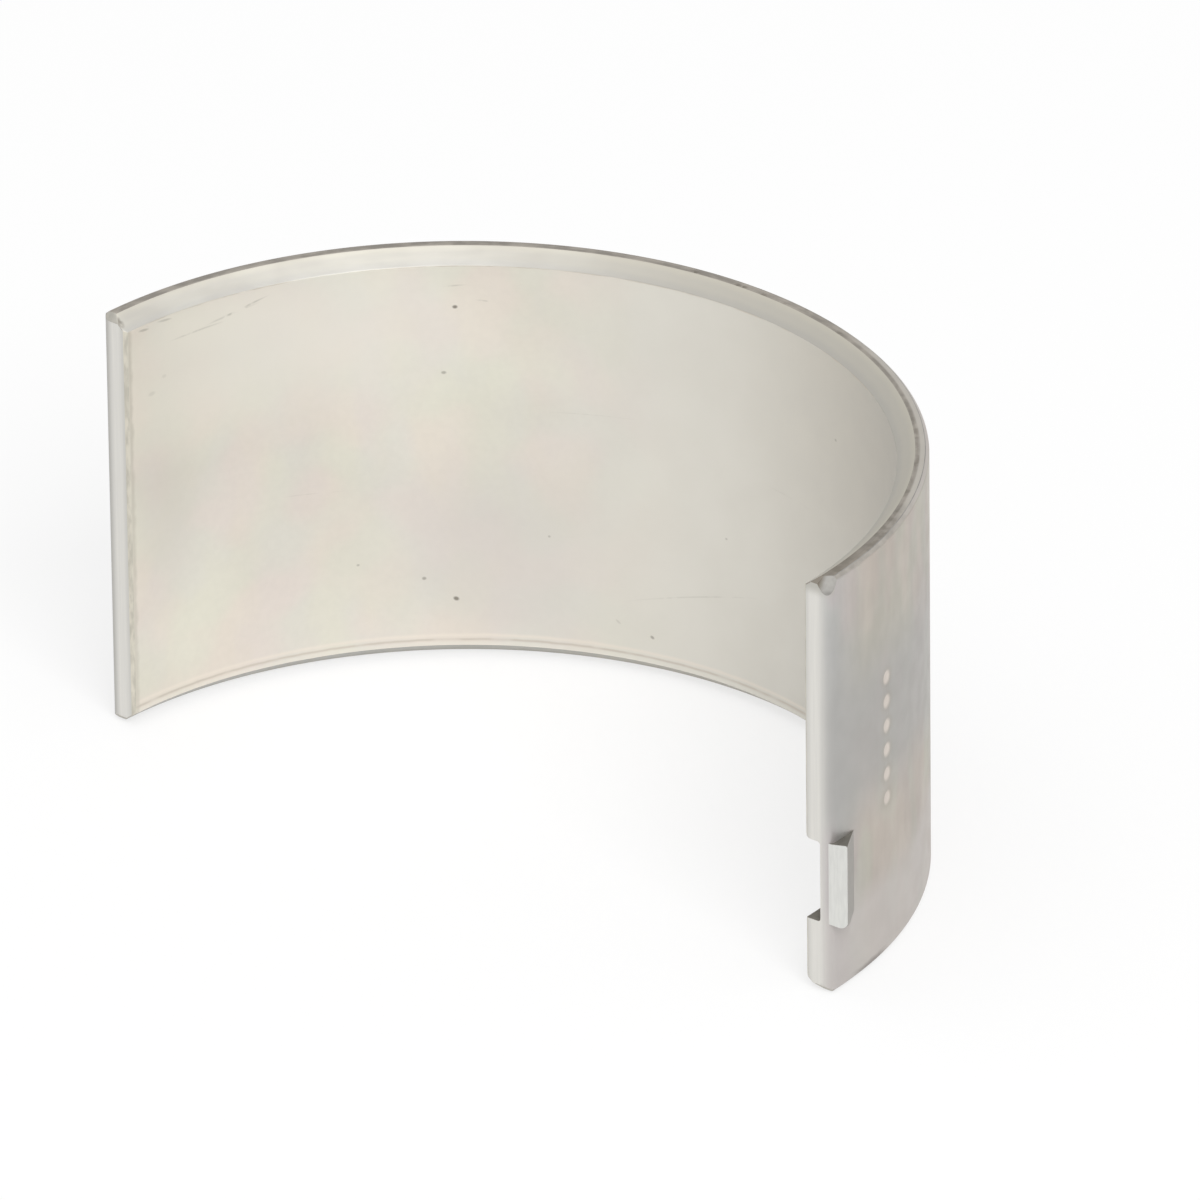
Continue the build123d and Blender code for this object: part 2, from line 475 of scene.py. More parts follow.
def add_tang(strip, shell, tang):
    """Joins the lug to the back of the strip and cuts the pocket behind it."""
    bore, back = shell.bore_radius, shell.back_radius
    wall = back - bore
    span = 3 * tang.length / bore
    low, high = tang.height_on_shell - tang.width / 2, tang.height_on_shell + tang.width / 2
    outside = back + tang.rise
    risen = high + tang.rise * math.tan(tang.lean)
    lug = ramp_block("tang", back, tang.rise, tang.setback, wall / 2, tang, shell.width)
    lug_corners = [
        (bore, low, 0), (outside, low, tang.lower_corner), (outside, risen, tang.upper_corner),
        (back, high, 0), (bore, high, 0),
    ]
    combine(lug, sheared_block("lug_sides", lug_corners, span), "INTERSECT")
    combine(strip, seat(lug, shell.joint_tilt), "UNION")

    # Inside the bore the section is wider, so that the rolled edges run out into the bore.
    low, high = low + tang.pocket_clearance, high - tang.pocket_clearance
    inside, deep = bore - wall, bore + tang.pocket_depth
    wide_low, wide_high = low - 2 * tang.pocket_lower_roll, high + 2 * tang.pocket_upper_roll
    pocket = ramp_block("pocket", bore, tang.pocket_depth, -wall, wall, tang, shell.width)
    pocket_corners = [
        (inside, wide_low, 0), (bore, wide_low, 0), (bore, low, tang.pocket_lower_roll),
        (deep, low, tang.pocket_corner), (deep, high, tang.pocket_corner),
        (bore, high, tang.pocket_upper_roll), (bore, wide_high, 0), (inside, wide_high, 0),
    ]
    combine(pocket, sheared_block("pocket_sides", pocket_corners, span), "INTERSECT")
    combine(strip, seat(pocket, shell.joint_tilt), "DIFFERENCE")


# Finishes

def add_node(tree, kind, inputs=(), **settings):
    """A node with its settings, and with its inputs wired to sockets or set to values."""
    node = tree.nodes.new(kind)
    for key, value in settings.items():
        setattr(node, key, value)
    for key, value in dict(inputs).items():
        if isinstance(value, bpy.types.NodeSocket):
            tree.links.new(value, node.inputs[key])
        else:
            node.inputs[key].default_value = value
    return node


class Graph:
    """A new material, with short calls that add and wire its shader nodes.

    Lengths are in millimetres. The unrolled coordinates run round the shell from the
    tang's end, along the journal's axis, and out from it.
    """

    def __init__(self, name, radius, base):
        self.material = bpy.data.materials.new(name)
        self.material.use_nodes = True
        self.tree = self.material.node_tree
        self.shader = self.tree.nodes["Principled BSDF"]
        self.radius, self.base = radius / MM, tuple(base)
        metres = self.add("ShaderNodeTexCoord").outputs["Object"]
        millimetres = self.add("ShaderNodeVectorMath", {0: metres, 3: 1 / MM}, operation="SCALE").outputs[0]
        x, y, self.height = self.add("ShaderNodeSeparateXYZ", {0: millimetres}).outputs
        self.arc = self.both(self.math("ARCTAN2", y, x), self.radius)
        level = self.add("ShaderNodeCombineXYZ", {"X": x, "Y": y}).outputs[0]
        self.out = self.add("ShaderNodeVectorMath", {0: level}, operation="LENGTH").outputs["Value"]
        unrolled = {0: self.arc, 1: self.height, 2: self.out}
        self.unrolled = self.add("ShaderNodeCombineXYZ", unrolled).outputs[0]
        self.flat = self.add("ShaderNodeCombineXYZ", {0: self.arc, 1: self.height}).outputs[0]

    def add(self, kind, inputs=(), **settings):
        return add_node(self.tree, kind, inputs, **settings)

    def at(self, degrees):
        """How far a place lies round the shell."""
        return math.radians(degrees) * self.radius

    def math(self, operation, first, second=0.0):
        return self.add("ShaderNodeMath", {0: first, 1: second}, operation=operation).outputs[0]

    def both(self, first, second):
        """The product of two values, and so a mask that is set where both are."""
        return self.math("MULTIPLY", first, second)

    def ragged(self, value, noise, reach):
        """A value that wanders with a noise."""
        return self.math("ADD", value, self.both(noise, reach))

    def noise(self, scale, detail=2.0, stretch=(1, 1, 1), offset=(0, 0, 0)):
        """Noise whose blobs are about 1/scale mm wide, stretched along the unrolled axes."""
        place = self.add("ShaderNodeMapping", {"Vector": self.unrolled, "Scale": stretch, "Location": offset})
        settings = {"Vector": place.outputs[0], "Scale": scale, "Detail": detail}
        return self.add("ShaderNodeTexNoise", settings).outputs["Fac"]

    def spread(self, value, low, high, to_low=0.0, to_high=1.0):
        """Spreads a value's range smoothly over another."""
        limits = {"Value": value, "From Min": low, "From Max": high, "To Min": to_low, "To Max": to_high}
        return self.add("ShaderNodeMapRange", limits, interpolation_type="SMOOTHSTEP").outputs["Result"]

    def band(self, value, low, high, edge):
        """One between two limits and nothing beyond, with soft edges."""
        above = self.spread(value, low - edge, low + edge)
        below = self.spread(value, high + edge, high - edge)
        return self.both(above, below)

    def spot(self, arc, height, length, width, turn=0.0, edge=0.6):
        """An oval patch, with its length round the shell before it is turned by some degrees."""
        oval = self.add("ShaderNodeMapping", {
            "Vector": self.flat, "Location": (arc, height, 0), "Rotation": (0, 0, math.radians(turn)),
            "Scale": (length / 2, width / 2, 1),
        }, vector_type="TEXTURE").outputs[0]
        reach = self.add("ShaderNodeVectorMath", {0: oval}, operation="LENGTH").outputs["Value"]
        return self.spread(reach, 1 + edge / 2, 1 - edge)

    def mix(self, factor, first, second, blend="MIX"):
        """Mixes two colours, each a constant or a socket."""
        inputs = {0: factor}
        for socket, colour in ((6, first), (7, second)):
            inputs[socket] = colour if isinstance(colour, bpy.types.NodeSocket) else (*colour, 1.0)
        return self.add("ShaderNodeMix", inputs, data_type="RGBA", blend_type=blend).outputs[2]

    def vary(self, colour, value, low, high, first, second):
        """Multiplies a colour by a tint that goes from one to another as a value goes from low to high."""
        tint = self.mix(self.spread(value, low, high), first, second)
        return self.mix(1.0, colour, tint, "MULTIPLY")

    def patch(self, colour, mask, strength, over):
        """Lays one colour over another where a mask is set."""
        return self.mix(self.both(mask, strength), colour, over)

    def tone(self, colour, mask, strength, factors):
        """Lays a tint of the base colour over another where a mask is set."""
        return self.patch(colour, mask, strength, tinted(self.base, factors))

    def tint(self, colour, mask, strength, factors):
        """Multiplies a colour where a mask is set."""
        return self.mix(self.both(mask, strength), colour, factors, "MULTIPLY")

    def surface(self, colour, roughness, metallic, bump=None, depth=0.0):
        """Wires the colour and the roughness, and a fine relief given in millimetres."""
        self.tree.links.new(colour, self.shader.inputs["Base Color"])
        self.tree.links.new(roughness, self.shader.inputs["Roughness"])
        self.shader.inputs["Metallic"].default_value = metallic
        if bump:
            relief = self.add("ShaderNodeBump", {"Height": bump, "Distance": depth * MM, "Strength": 1.0})
            self.tree.links.new(relief.outputs[0], self.shader.inputs["Normal"])
        return self.material


def evenly(factor):
    """The same factor for each channel."""
    return (factor, factor, factor)


def tinted(colour, factors):
    """A colour times a factor for each channel."""
    return tuple(min(1.0, channel * factor) for channel, factor in zip(colour, factors))


def bore_overlay(colours, sizes):
    """Satin overlay with soft casts of colour, painted light and shade, a lighter lower lip with a painted
    highlight, specks of dirt and fine scratches.
    """
    graph = Graph("bore_overlay", sizes.bore_radius, colours.bore)
    edge, at = (sizes.width / 2 - sizes.bore_bevel_width) / MM, graph.at
    broad = graph.noise(0.09, 1)
    colour = graph.vary(graph.base, broad, 0.35, 0.65, (0.965, 0.955, 0.955), (1.02, 1.02, 1.01))
    pink_to_green = graph.noise(0.16, 1, offset=(11, 4, 0))
    cast = graph.vary(colour, pink_to_green, 0.38, 0.62, (1.015, 0.985, 0.985), (0.985, 1.01, 0.99))
    to_violet = graph.noise(0.2, 2, (1, 0.5, 1), (3, 40, 0))
    cast = graph.vary(cast, to_violet, 0.4, 0.65, (1, 1, 1), (0.985, 0.985, 1.02))
    # The casts fade towards the tang's end.
    colour = graph.mix(graph.spread(graph.arc, at(70), at(115), 0.4, 1.0), colour, cast)
    colour = graph.vary(colour, graph.noise(1.8, 3), 0.3, 0.7, evenly(0.99), evenly(1.01))
    # Spots of painted shade that cool and darken low in the middle and at the plain end, and of painted light
    # that pales above. Each has its degrees round the shell, height, length, width, strength and factors.
    casts = (
        (124, -7, 20, 13, 0.6, (0.84, 0.83, 0.88)), (172, 0, 7, 16, 0.5, (0.88, 0.87, 0.90)),
        (118, -12.5, 14, 6, 0.4, (0.82, 0.83, 0.87)), (158, 11, 30, 13, 0.8, (1.11, 1.12, 1.14)),
        (164, 13.8, 14, 5, 0.5, (1.15, 1.16, 1.17)),
    )
    for degrees, height, length, width, strength, factors in casts:
        soft = graph.spot(at(degrees), height, length, width, edge=0.9)
        colour = graph.tone(colour, soft, strength, factors)
    # Painted shade: the surface cools past the middle, and darkens to the tang's end.
    painted_cool_shade = graph.spread(graph.arc, at(125), at(95))
    colour = graph.tone(colour, painted_cool_shade, 1.0, (0.96, 0.975, 1.0))
    shade = graph.spread(graph.ragged(graph.arc, graph.noise(0.35, 2), 3.0), at(106), at(34))
    colour = graph.tone(colour, shade, 0.72, (0.62, 0.63, 0.68))
    # The lower lip: a light band of painted highlight, a fine line under it, and a lighter edge.
    wavy_height = graph.ragged(graph.height, graph.noise(0.8, 2), 0.12)
    glow = graph.band(wavy_height, -edge + 0.78, -edge + 1.0, 0.14)
    colour = graph.tone(colour, glow, 0.6, (1.09, 1.05, 1.05))
    line = graph.band(wavy_height, -edge + 0.48, -edge + 0.62, 0.09)
    worn = graph.spread(graph.noise(0.5, 1), 0.3, 0.5, 0.5, 1.0)
    colour = graph.tone(colour, line, worn, (0.78, 0.74, 0.72))
    lip = graph.spread(wavy_height, -edge + 0.42, -edge + 0.30)
    colour = graph.tone(colour, lip, 0.5, (1.04, 1.05, 1.07))
    # The upper edge is a fine darker line.
    line = graph.spread(wavy_height, edge - 0.06, edge + 0.05)
    worn = graph.spread(graph.noise(0.4, 1, offset=(5, 0, 0)), 0.35, 0.6)
    colour = graph.tone(colour, line, worn, (0.80, 0.77, 0.75))
    # The stained strip beside the plain joint face, with a wavy edge.
    wavy_arc = graph.ragged(graph.arc, graph.noise(0.9, 2, offset=(0, 9, 0)), 0.5)
    strip = graph.spread(wavy_arc, at(177.9) - 0.25, at(177.9) + 0.15)
    colour = graph.patch(colour, strip, 0.6, tinted(colours.joint_break, (0.95, 0.95, 0.95)))
    # Specks of dirt: degrees round the shell, height, length, width, turn and strength
    specks = (
        (130.1, 12.0, 0.40, 0.30, 0, 0.75), (130.5, -11.5, 0.46, 0.34, 20, 0.75),
        (134.7, -9.8, 0.34, 0.28, 0, 0.5), (131.7, 6.75, 0.40, 0.26, 0, 0.45),
        (103.7, -13.15, 0.36, 0.26, 30, 0.5), (175.0, 14.9, 1.0, 0.22, 8, 0.3),
        (171.3, 15.0, 1.3, 0.20, 6, 0.25), (173.8, 9.6, 0.7, 0.35, 0, 0.12),
        (171.6, 10.6, 0.45, 0.30, 0, 0.1), (143.5, -8.3, 0.25, 0.2, 0, 0.35),
        (118.0, -6.2, 0.22, 0.2, 0, 0.3), (92.0, -3.5, 0.25, 0.2, 0, 0.25),
        (108.6, -12.4, 0.5, 0.2, 40, 0.15), (70.0, 8.9, 0.3, 0.22, 0, 0.3),
    )
    for degrees, height, length, width, turn, strength in specks:
        speck = graph.spot(at(degrees), height, length, width, turn)
        colour = graph.patch(colour, speck, strength, tuple(colours.dirt))
    # Scratches that come and go along their length, given in the same way
    scratches = (
        (166.0, 13.25, 4.2, 0.16, -2, 0.36), (160.5, 13.8, 3.6, 0.20, -9, 0.504),
        (157.6, 14.2, 2.2, 0.16, -14, 0.42), (130.2, 13.7, 1.5, 0.14, -4, 0.36),
        (126.3, 12.5, 1.2, 0.14, 6, 0.36), (96.5, -8.9, 10.5, 0.14, -16, 0.192),
        (150.0, -2.0, 5.0, 0.10, 4, 0.144), (112.0, 4.0, 6.0, 0.10, -3, 0.12),
        (80.0, 2.0, 5.0, 0.10, 2, 0.144),
    )
    broken = graph.spread(graph.noise(1.1, 2), 0.35, 0.6)
    for degrees, height, length, width, turn, strength in scratches:
        scratch = graph.both(graph.spot(at(degrees), height, length, width, turn, edge=0.9), broken)
        colour = graph.tone(colour, scratch, strength, (0.42, 0.42, 0.38))
    grain = graph.noise(2.5, 3, (0.15, 2.5, 1))
    roughness = graph.spread(graph.noise(0.3, 3), 0.3, 0.7, 0.46, 0.54)
    return graph.surface(colour, roughness, 0.55, grain, 0.002)


def cut_bevel(colours, sizes):
    """The cut bevels: light at the top, greyed by painted shade at the bottom and towards the tang's end,
    with turning lines and one stain.
    """
    graph = Graph("cut_bevel", sizes.bore_radius, colours.bevel)
    at = graph.at
    broad = graph.noise(0.22, 2)
    colour = graph.vary(graph.base, broad, 0.35, 0.65, (0.955, 0.95, 0.95), (1.02, 1.02, 1.015))
    colour = graph.vary(colour, graph.noise(0.5, 2, (0.6, 3, 3)), 0.35, 0.65, evenly(0.975), evenly(1.02))
    # Painted shade: the lower bevel is greyer.
    low = graph.spread(graph.height, 0.5, -0.5)
    colour = graph.tone(colour, low, 0.85, (0.74, 0.75, 0.76))
    shade = graph.spread(graph.arc, at(132), at(98))
    colour = graph.tone(colour, shade, 1.0, (0.82, 0.81, 0.79))
    # Bluish beside the bore, and creamier towards the side face.
    inner_edge, outer_edge = sizes.bore_radius / MM, (sizes.bore_radius + sizes.bore_bevel_depth) / MM
    out = graph.ragged(graph.out, graph.noise(0.7, 2, offset=(0, 3, 8)), 0.3)
    inner = graph.spread(out, inner_edge + 0.75, inner_edge + 0.25)
    colour = graph.tint(colour, inner, 0.8, (0.91, 0.92, 0.95))
    outer = graph.spread(out, outer_edge - 0.35, outer_edge + 0.1)
    colour = graph.tint(colour, outer, 0.9, (1.08, 1.07, 1.04))
    # An olive stain where the bevel meets the plain joint face.
    stain = graph.both(graph.spot(at(178.2), 15.9, 0.8, 0.7), graph.spread(graph.noise(1.8, 2), 0.35, 0.55))
    colour = graph.patch(colour, stain, 0.6, tuple(colours.dirt))
    rings = graph.noise(1.5, 2, (0.1, 6, 6))
    return graph.surface(colour, graph.spread(graph.noise(0.4, 2), 0.3, 0.7, 0.5, 0.6), 0.4, rings, 0.002)


def turned_side(colours, sizes):
    """Side faces painted dark as shade, with turning lines and paler rubs."""
    graph = Graph("turned_side", sizes.back_radius, colours.side)
    at = graph.at
    inner = (sizes.bore_radius + sizes.bore_bevel_depth) / MM
    rubs = graph.noise(0.7, 3, (1, 1, 2))
    colour = graph.vary(graph.base, rubs, 0.35, 0.65, evenly(0.86), evenly(1.16))
    rings = graph.noise(1.2, 2, (0.08, 1, 7))
    colour = graph.vary(colour, rings, 0.35, 0.65, evenly(0.92), evenly(1.07))
    end = graph.spread(graph.arc, at(62), at(35))
    blotches = graph.both(end, graph.spread(graph.noise(0.9, 2), 0.42, 0.68))
    colour = graph.tone(colour, blotches, 0.7, (0.5, 0.49, 0.46))
    # Past the bend the outer half gets a painted rim highlight, and the tang's end is darkened.
    painted_rim_highlight = graph.both(graph.spread(graph.out, inner + 0.26, inner + 0.42), rim_highlight_stretch(graph))
    colour = graph.tone(colour, painted_rim_highlight, 0.9, (1.5, 1.55, 1.6))
    darkened = graph.spread(graph.arc, at(16), at(8))
    colour = graph.tone(colour, darkened, 0.6, (0.6, 0.58, 0.54))
    # Small nicks along the inner edge: degrees round the shell, length and strength
    nicks = ((98.3, 0.7, 0.6), (91.2, 1.0, 0.6), (87.6, 0.9, 0.45), (84.0, 0.4, 0.3), (73.0, 0.6, 0.3))
    near_edge = graph.spread(graph.out, inner + 0.45, inner + 0.15)
    near_edge = graph.both(near_edge, graph.spread(graph.noise(2.2, 2), 0.38, 0.55))
    for degrees, length, strength in nicks:
        nick = graph.band(graph.arc, at(degrees) - length / 2, at(degrees) + length / 2, 0.3)
        colour = graph.patch(colour, graph.both(near_edge, nick), strength, tuple(colours.dirt))
    return graph.surface(colour, graph.spread(rubs, 0.3, 0.7, 0.5, 0.62), 0.5, rings, 0.002)


def rim_highlight_stretch(graph):
    """Where round the shell its outer edges get a painted rim highlight."""
    return graph.band(graph.arc, graph.at(22), graph.at(70), 4.0)


def plated_colour(graph, colours):
    """The colour of the flash plating: upright bands of painted reflection, casts of colour and a darker
    middle.
    """
    base = tuple(colours.back)
    colour = graph.vary(base, graph.arc, 0.5, 6.5, (0.985, 1.0, 1.035), (1.03, 1.0, 0.93))
    # Upright bands of painted reflection.
    upright = graph.noise(0.3, 2, (1, 0.25, 1))
    colour = graph.vary(colour, upright, 0.36, 0.64, (0.955, 0.95, 0.955), (1.04, 1.04, 1.03))
    pink_to_green = graph.noise(0.35, 1, (1, 0.4, 1), (20, 7, 0))
    colour = graph.vary(colour, pink_to_green, 0.4, 0.6, (1.02, 0.985, 0.99), (0.985, 1.01, 0.99))
    colour = graph.vary(colour, graph.noise(1.6, 3, (1, 0.3, 1)), 0.3, 0.7, evenly(0.98), evenly(1.02))
    # Away from the tang the darker middle and the paler foot wander and fade.
    away = graph.spread(graph.arc, 9, 30)
    centred = graph.math("SUBTRACT", graph.noise(0.09, 2, offset=(31, 5, 0)), 0.5)
    height = graph.ragged(graph.height, graph.both(centred, 28.0), away)
    middle = graph.both(graph.spread(height, 11.0, 4.5), graph.spread(height, -6.0, 0.0))
    strength = graph.spread(away, 0, 1, 0.8, 0.5)
    colour = graph.patch(colour, middle, strength, tinted(base, (0.86, 0.88, 0.89)))
    foot, strength = graph.spread(height, -8.5, -11.5), graph.spread(away, 0, 1, 0.7, 0.4)
    return graph.patch(colour, foot, strength, tinted(base, (1.16, 1.14, 1.14)))


def plated_roughness(graph):
    """The roughness of the flash plating, in soft patches."""
    return graph.spread(graph.noise(0.5, 3), 0.3, 0.7, 0.42, 0.52)


def flashed_back(colours, sizes):
    """The plated back, with a painted highlight in each pip and painted shade round it."""
    graph = Graph("flashed_back", sizes.back_radius, colours.back)
    size = sizes.pip_radius / MM
    colour = plated_colour(graph, colours)
    for height in pip_heights(sizes):
        # Painted shade round each pip, and a painted highlight in it.
        place = (sizes.pip_turn * graph.radius, height / MM)
        oil = graph.spot(*place, 3.4 * size, 3.2 * size, edge=0.7)
        colour = graph.tone(colour, oil, 0.45, (0.80, 0.76, 0.66))
        pip = graph.spot(*place, 2 * size, 2 * size, edge=0.4)
        colour = graph.tone(colour, pip, 0.85, (1.5, 1.42, 1.35))
    # Darker along the lower edge near the tang.
    height = graph.ragged(graph.height, graph.noise(1.2, 2), 0.3)
    darkened = graph.both(graph.band(graph.arc, 4.2, 7.8, 1.2), graph.spread(height, -15.35, -15.75))
    colour = graph.tone(colour, darkened, 0.75, (0.52, 0.49, 0.48))
    seat_lines = graph.noise(1.4, 3, (0.06, 3, 1))
    return graph.surface(colour, plated_roughness(graph), 0.55, seat_lines, 0.002)


def back_rim(colours, sizes):
    """The thin bevel round the back, with a painted rim highlight past the bend."""
    graph = Graph("back_rim", sizes.back_radius, colours.back_rim)
    mottle = graph.noise(0.8, 3)
    colour = graph.vary(graph.base, mottle, 0.35, 0.65, evenly(0.9), evenly(1.12))
    # Painted rim highlight.
    colour = graph.tone(colour, rim_highlight_stretch(graph), 0.8, (1.3, 1.3, 1.35))
    return graph.surface(colour, graph.spread(mottle, 0.3, 0.7, 0.45, 0.55), 0.5)


def broached_joint(colours, sizes):
    """Joint faces that grade into the back over the rounding, and are greyer at their foot."""
    graph = Graph("broached_joint", sizes.back_radius, colours.joint)
    back, bore, half = sizes.back_radius / MM, sizes.bore_radius / MM, sizes.width / MM / 2
    strokes = graph.noise(1.1, 3, (1, 0.12, 4))
    colour = graph.vary(graph.base, strokes, 0.32, 0.68, evenly(0.965), evenly(1.03))
    inner = graph.spread(graph.out, bore + 0.8, bore - 0.1)
    colour = graph.tone(colour, inner, 1.0, (0.735, 0.735, 0.73))
    foot = graph.spread(graph.height, -half + 0.55, -half + 0.3)
    colour = graph.tone(colour, foot, 0.5, (0.7, 0.7, 0.69))
    # Painted shade: the plain end darkens over its rounding.
    plain_end, tang_end = graph.spread(graph.arc, 60, 90), graph.spread(graph.arc, 20, 10)
    darker = graph.both(graph.spread(graph.out, back - 1.1, back - 0.3), plain_end)
    colour = graph.tone(colour, darker, 1.0, evenly(0.66))
    # Both ends take on the colour of the back: the tang's end early, the plain one at the last.
    early = graph.both(graph.spread(graph.out, back - 1.1, back - 0.02), tang_end)
    late = graph.both(graph.spread(graph.out, back - 0.16, back - 0.01), plain_end)
    grade = graph.math("ADD", early, late)
    colour = graph.mix(grade, colour, plated_colour(graph, colours))
    # The joint face is darker over the upper corner of the tang's end.
    top = graph.both(graph.spread(graph.height, 14.7, 15.6), tang_end)
    colour = graph.tone(colour, top, 0.75, (0.60, 0.59, 0.56))
    roughness = graph.mix(grade, graph.spread(strokes, 0.3, 0.7, 0.48, 0.58), plated_roughness(graph))
    return graph.surface(colour, roughness, 0.55, strokes, 0.003)


def knocked_corner(colours, sizes):
    """The flattened corner, with a dark smear along the joint face's side of it."""
    graph = Graph("knocked_corner", sizes.back_radius, colours.knocked)
    inner = (sizes.back_radius - sizes.knock[0]) / MM
    mottle = graph.noise(1.3, 3)
    colour = graph.vary(graph.base, mottle, 0.32, 0.68, evenly(0.86), evenly(1.15))
    smear = graph.spread(graph.out, inner + 0.85, inner + 0.4)
    uneven = graph.spread(graph.noise(1.1, 2, offset=(4, 0, 0)), 0.3, 0.55, 0.6, 0.95)
    colour = graph.patch(colour, smear, uneven, tuple(colours.dirt))
    return graph.surface(colour, graph.spread(mottle, 0.3, 0.7, 0.5, 0.62), 0.4, mottle, 0.01)


def side_break(colours, sizes):
    """The bevels between joint faces and side faces; the upper one is darker at the tang's end."""
    graph = Graph("joint_side_break", sizes.back_radius, colours.side_break)
    mottle = graph.noise(1.6, 3)
    colour = graph.vary(graph.base, mottle, 0.32, 0.68, evenly(0.9), evenly(1.1))
    darkened = graph.both(graph.spread(graph.arc, 20, 10), graph.spread(graph.height, 10, 14))
    colour = graph.patch(colour, darkened, 0.9, tinted(colours.side, (0.75, 0.72, 0.68)))
    return graph.surface(colour, graph.spread(mottle, 0.3, 0.7, 0.5, 0.6), 0.5, mottle, 0.004)


def cut_steel(name, colour, sizes, spread):
    """Bare cut or sheared steel, streaked along the cut."""
    graph = Graph(name, sizes.back_radius, colour)
    streaks = graph.noise(1.6, 3, (1, 0.5, 3))
    shade = graph.vary(graph.base, streaks, 0.32, 0.68, evenly(1 - spread), evenly(1 + spread))
    return graph.surface(shade, graph.spread(streaks, 0.3, 0.7, 0.5, 0.6), 0.5, streaks, 0.003)


def assign_finishes(shell, sizes, tang, colours):
    """Gives each face the finish of the surface that it belongs to."""
    finishes = {
        "bore": bore_overlay(colours, sizes),
        "bevel": cut_bevel(colours, sizes),
        "side": turned_side(colours, sizes),
        "back": flashed_back(colours, sizes),
        "rim": back_rim(colours, sizes),
        "joint": broached_joint(colours, sizes),
        "joint_break": cut_steel("stained_edge", colours.joint_break, sizes, 0.14),
        "side_break": side_break(colours, sizes),
        "knock": knocked_corner(colours, sizes),
        "sheared": cut_steel("sheared_side", colours.sheared, sizes, 0.12),
        "ramp": cut_steel("tang_ramp", colours.ramp, sizes, 0.08),
        "lug_end": cut_steel("tang_end", colours.lug_end, sizes, 0.04),
    }
    names = list(finishes)
    shell.data.materials.clear()
    for name in names:
        shell.data.materials.append(finishes[name])
    for face in shell.data.polygons:
        face.material_index = names.index(surface_of(face, sizes, tang))


def surface_of(face, sizes, tang):
    """Which surface a face belongs to, from its place and the way it looks.

    Its normal counts as its share along the journal's axis and its share outwards from it.
    """
    centre, along = face.center, abs(face.normal.z)
    outward = face.normal.dot(Vector((centre.x, centre.y, 0)).normalized())
    radius = math.hypot(centre.x, centre.y)
    from_joint = radius * (math.atan2(centre.y, abs(centre.x)) - sizes.joint_tilt)
    from_tang = abs(centre.z - tang.height_on_shell) - tang.width / 2
    at_tang = centre.x > 0 and from_joint < 1.2 * tang.length and from_tang < tang.pocket_upper_roll + MM
    if at_tang:
        depth = radius - sizes.bore_radius
        if radius > sizes.back_radius + 0.02 * MM:
            if along > 0.5:
                return "sheared"
            return "lug_end" if outward < 0.3 else "ramp"
        if along > 0.6 and depth > 0.05 * MM:
            return "sheared"
        if -0.98 < outward < -0.3 and depth > 0.2 * MM:
            return "ramp"
    if along > 0.9:
        return "side"
    if outward < -0.9:
        return "bore"
    if outward > 0.8:
        # The rounding's last facets belong to the joint face, up to where they touch the back.
        on_rounding = from_joint < 0.99 * sizes.joint_back_radius and along < 0.2
        return "joint" if on_rounding else "back"
    if along > 0.3:
        if outward < -0.4:
            return "bevel"
        if outward > 0.6:
            return "rim"
        return "knock" if outward > 0.4 else "side_break"
    return "joint_break" if outward < -0.3 else "joint"


class BEARING_OT_add_shell(bpy.types.Operator):
    """Models the half shell with its tang and pocket, and gives it its finishes"""

    bl_idname = "bearing.add_shell"
    bl_label = "Add bearing shell"

    def execute(self, context):
        shell_sizes, tang_sizes = context.scene.shell_sizes, context.scene.tang_sizes
        shell = add_strip(shell_sizes)
        add_tang(shell, shell_sizes, tang_sizes)
        assign_finishes(shell, shell_sizes, tang_sizes, context.scene.finish_colours)
        take(shell)
        bpy.ops.object.shade_smooth_by_angle(angle=SMOOTH_ANGLE)
        apply_modifier(shell, "WEIGHTED_NORMAL", keep_sharp=True)
        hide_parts(CAD_NODE)
        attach(shell, "root")
        return {"FINISHED"}


# The stage

def pale_paper(glow_share):
    """Matt white that also glows to the camera and in reflections, and so keeps the soft shadow."""
    material = bpy.data.materials.new("pale_floor")
    material.use_nodes = True
    tree = material.node_tree
    tree.nodes.clear()
    white = (*evenly(0.9), 1)
    paper = add_node(tree, "ShaderNodeBsdfDiffuse", {"Color": white}).outputs[0]
    glow = add_node(tree, "ShaderNodeEmission", {"Strength": 1.0}).outputs[0]
    rays = add_node(tree, "ShaderNodeLightPath").outputs
    seen = rays["Is Camera Ray"]
    for kind in ("Is Glossy Ray", "Is Transmission Ray"):
        seen = add_node(tree, "ShaderNodeMath", {0: seen, 1: rays[kind]}, operation="MAXIMUM").outputs[0]
    share = add_node(tree, "ShaderNodeMath", {0: seen, 1: glow_share}, operation="MULTIPLY").outputs[0]
    mix = add_node(tree, "ShaderNodeMixShader", {0: share, 1: paper, 2: glow}).outputs[0]
    add_node(tree, "ShaderNodeOutputMaterial", {"Surface": mix})
    return material


def add_floor(studio):
    """The pale floor that the shell stands on."""
    start_piece()
    bpy.ops.mesh.primitive_plane_add(size=studio.floor_size, location=(0, 0, LOW.z))
    floor = settle("studio_floor")
    floor.data.materials.append(pale_paper(studio.floor_glow))


def add_room_light(studio):
    """The even light of a pale room."""
    world = bpy.data.worlds.new("pale_room")
    bpy.context.scene.world = world
    world.use_nodes = True
    background = world.node_tree.nodes["Background"]
    background.inputs["Color"].default_value = (1, 1, 1, 1)
    background.inputs["Strength"].default_value = studio.world_level


def add_softbox(name, place, size, power):
    """A square soft lamp that faces the shell."""
    data = bpy.data.lights.new(name, "AREA")
    data.shape = "SQUARE"
    data.size = size
    data.energy = power
    lamp = bpy.data.objects.new(name, data)
    lamp.location = place
    lamp.rotation_euler = (-Vector(place)).to_track_quat("-Z", "Y").to_euler()
    bpy.context.scene.collection.objects.link(lamp)


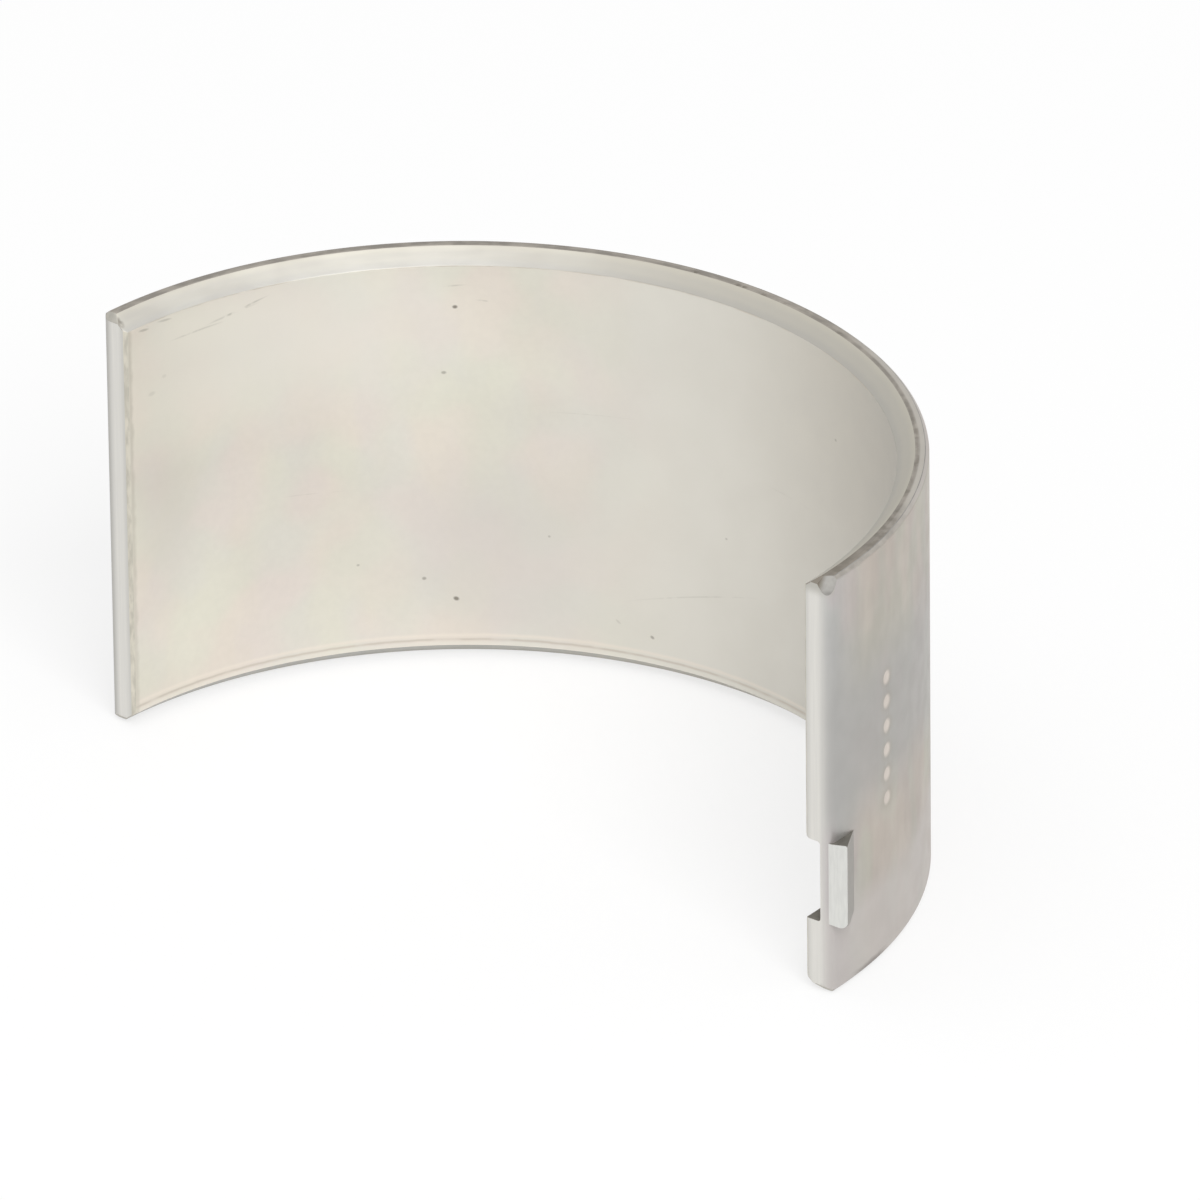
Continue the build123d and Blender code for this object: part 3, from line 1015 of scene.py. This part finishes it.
def add_camera(studio):
    """The camera at the photograph's viewing angle."""
    azimuth, level = studio.azimuth, math.cos(studio.elevation)
    back = Vector((math.sin(azimuth) * level, -math.cos(azimuth) * level, math.sin(studio.elevation)))
    right = Vector((math.cos(azimuth), math.sin(azimuth), 0))
    up = back.cross(right)
    data = bpy.data.cameras.new("camera")
    data.sensor_width = SENSOR_WIDTH
    data.lens = studio.lens
    data.clip_start = 0.1
    data.clip_end = 30
    camera = bpy.data.objects.new("camera", data)
    place = Matrix.Translation(Vector(studio.aim) + back * studio.distance)
    turn = Matrix((right, up, back)).transposed().to_4x4()
    camera.matrix_world = place @ turn @ Matrix.Rotation(studio.roll, 4, "Z")
    bpy.context.scene.collection.objects.link(camera)
    bpy.context.scene.camera = camera


class BEARING_OT_add_studio(bpy.types.Operator):
    """Adds the floor, the soft lamps and the camera"""

    bl_idname = "bearing.add_studio"
    bl_label = "Add studio"

    def execute(self, context):
        studio = context.scene.studio_settings
        add_floor(studio)
        add_room_light(studio)
        for softbox in SOFTBOXES:
            add_softbox(*softbox)
        add_camera(studio)
        context.scene.view_settings.view_transform = "Standard"
        return {"FINISHED"}


class BEARING_PT_sidebar(bpy.types.Panel):
    """Sizes, colours and operators of the bearing shell"""

    bl_idname = "BEARING_PT_sidebar"
    bl_label = "Engine bearing shell"
    bl_space_type = "VIEW_3D"
    bl_region_type = "UI"
    bl_category = "Bearing"

    def draw(self, context):
        layout = self.layout
        for group in ("shell_sizes", "tang_sizes", "finish_colours", "studio_settings"):
            column = layout.box().column(align=True)
            values = getattr(context.scene, group)
            for name in values.__annotations__:
                column.prop(values, name)
        layout.operator("bearing.add_shell")
        layout.operator("bearing.add_studio")


GROUPS = {
    "shell_sizes": ShellSizes,
    "tang_sizes": TangSizes,
    "finish_colours": FinishColours,
    "studio_settings": StudioSettings,
}
CLASSES = (*GROUPS.values(), BEARING_OT_add_shell, BEARING_OT_add_studio, BEARING_PT_sidebar)


def register():
    for cls in CLASSES:
        bpy.utils.register_class(cls)
    for name, group in GROUPS.items():
        setattr(bpy.types.Scene, name, PointerProperty(type=group))


def unregister():
    for name in GROUPS:
        delattr(bpy.types.Scene, name)
    for cls in reversed(CLASSES):
        bpy.utils.unregister_class(cls)


def main():
    """Adds the shell and its stage."""
    register()
    bpy.ops.bearing.add_shell()
    bpy.ops.bearing.add_studio()


if __name__ == "__main__":
    main()
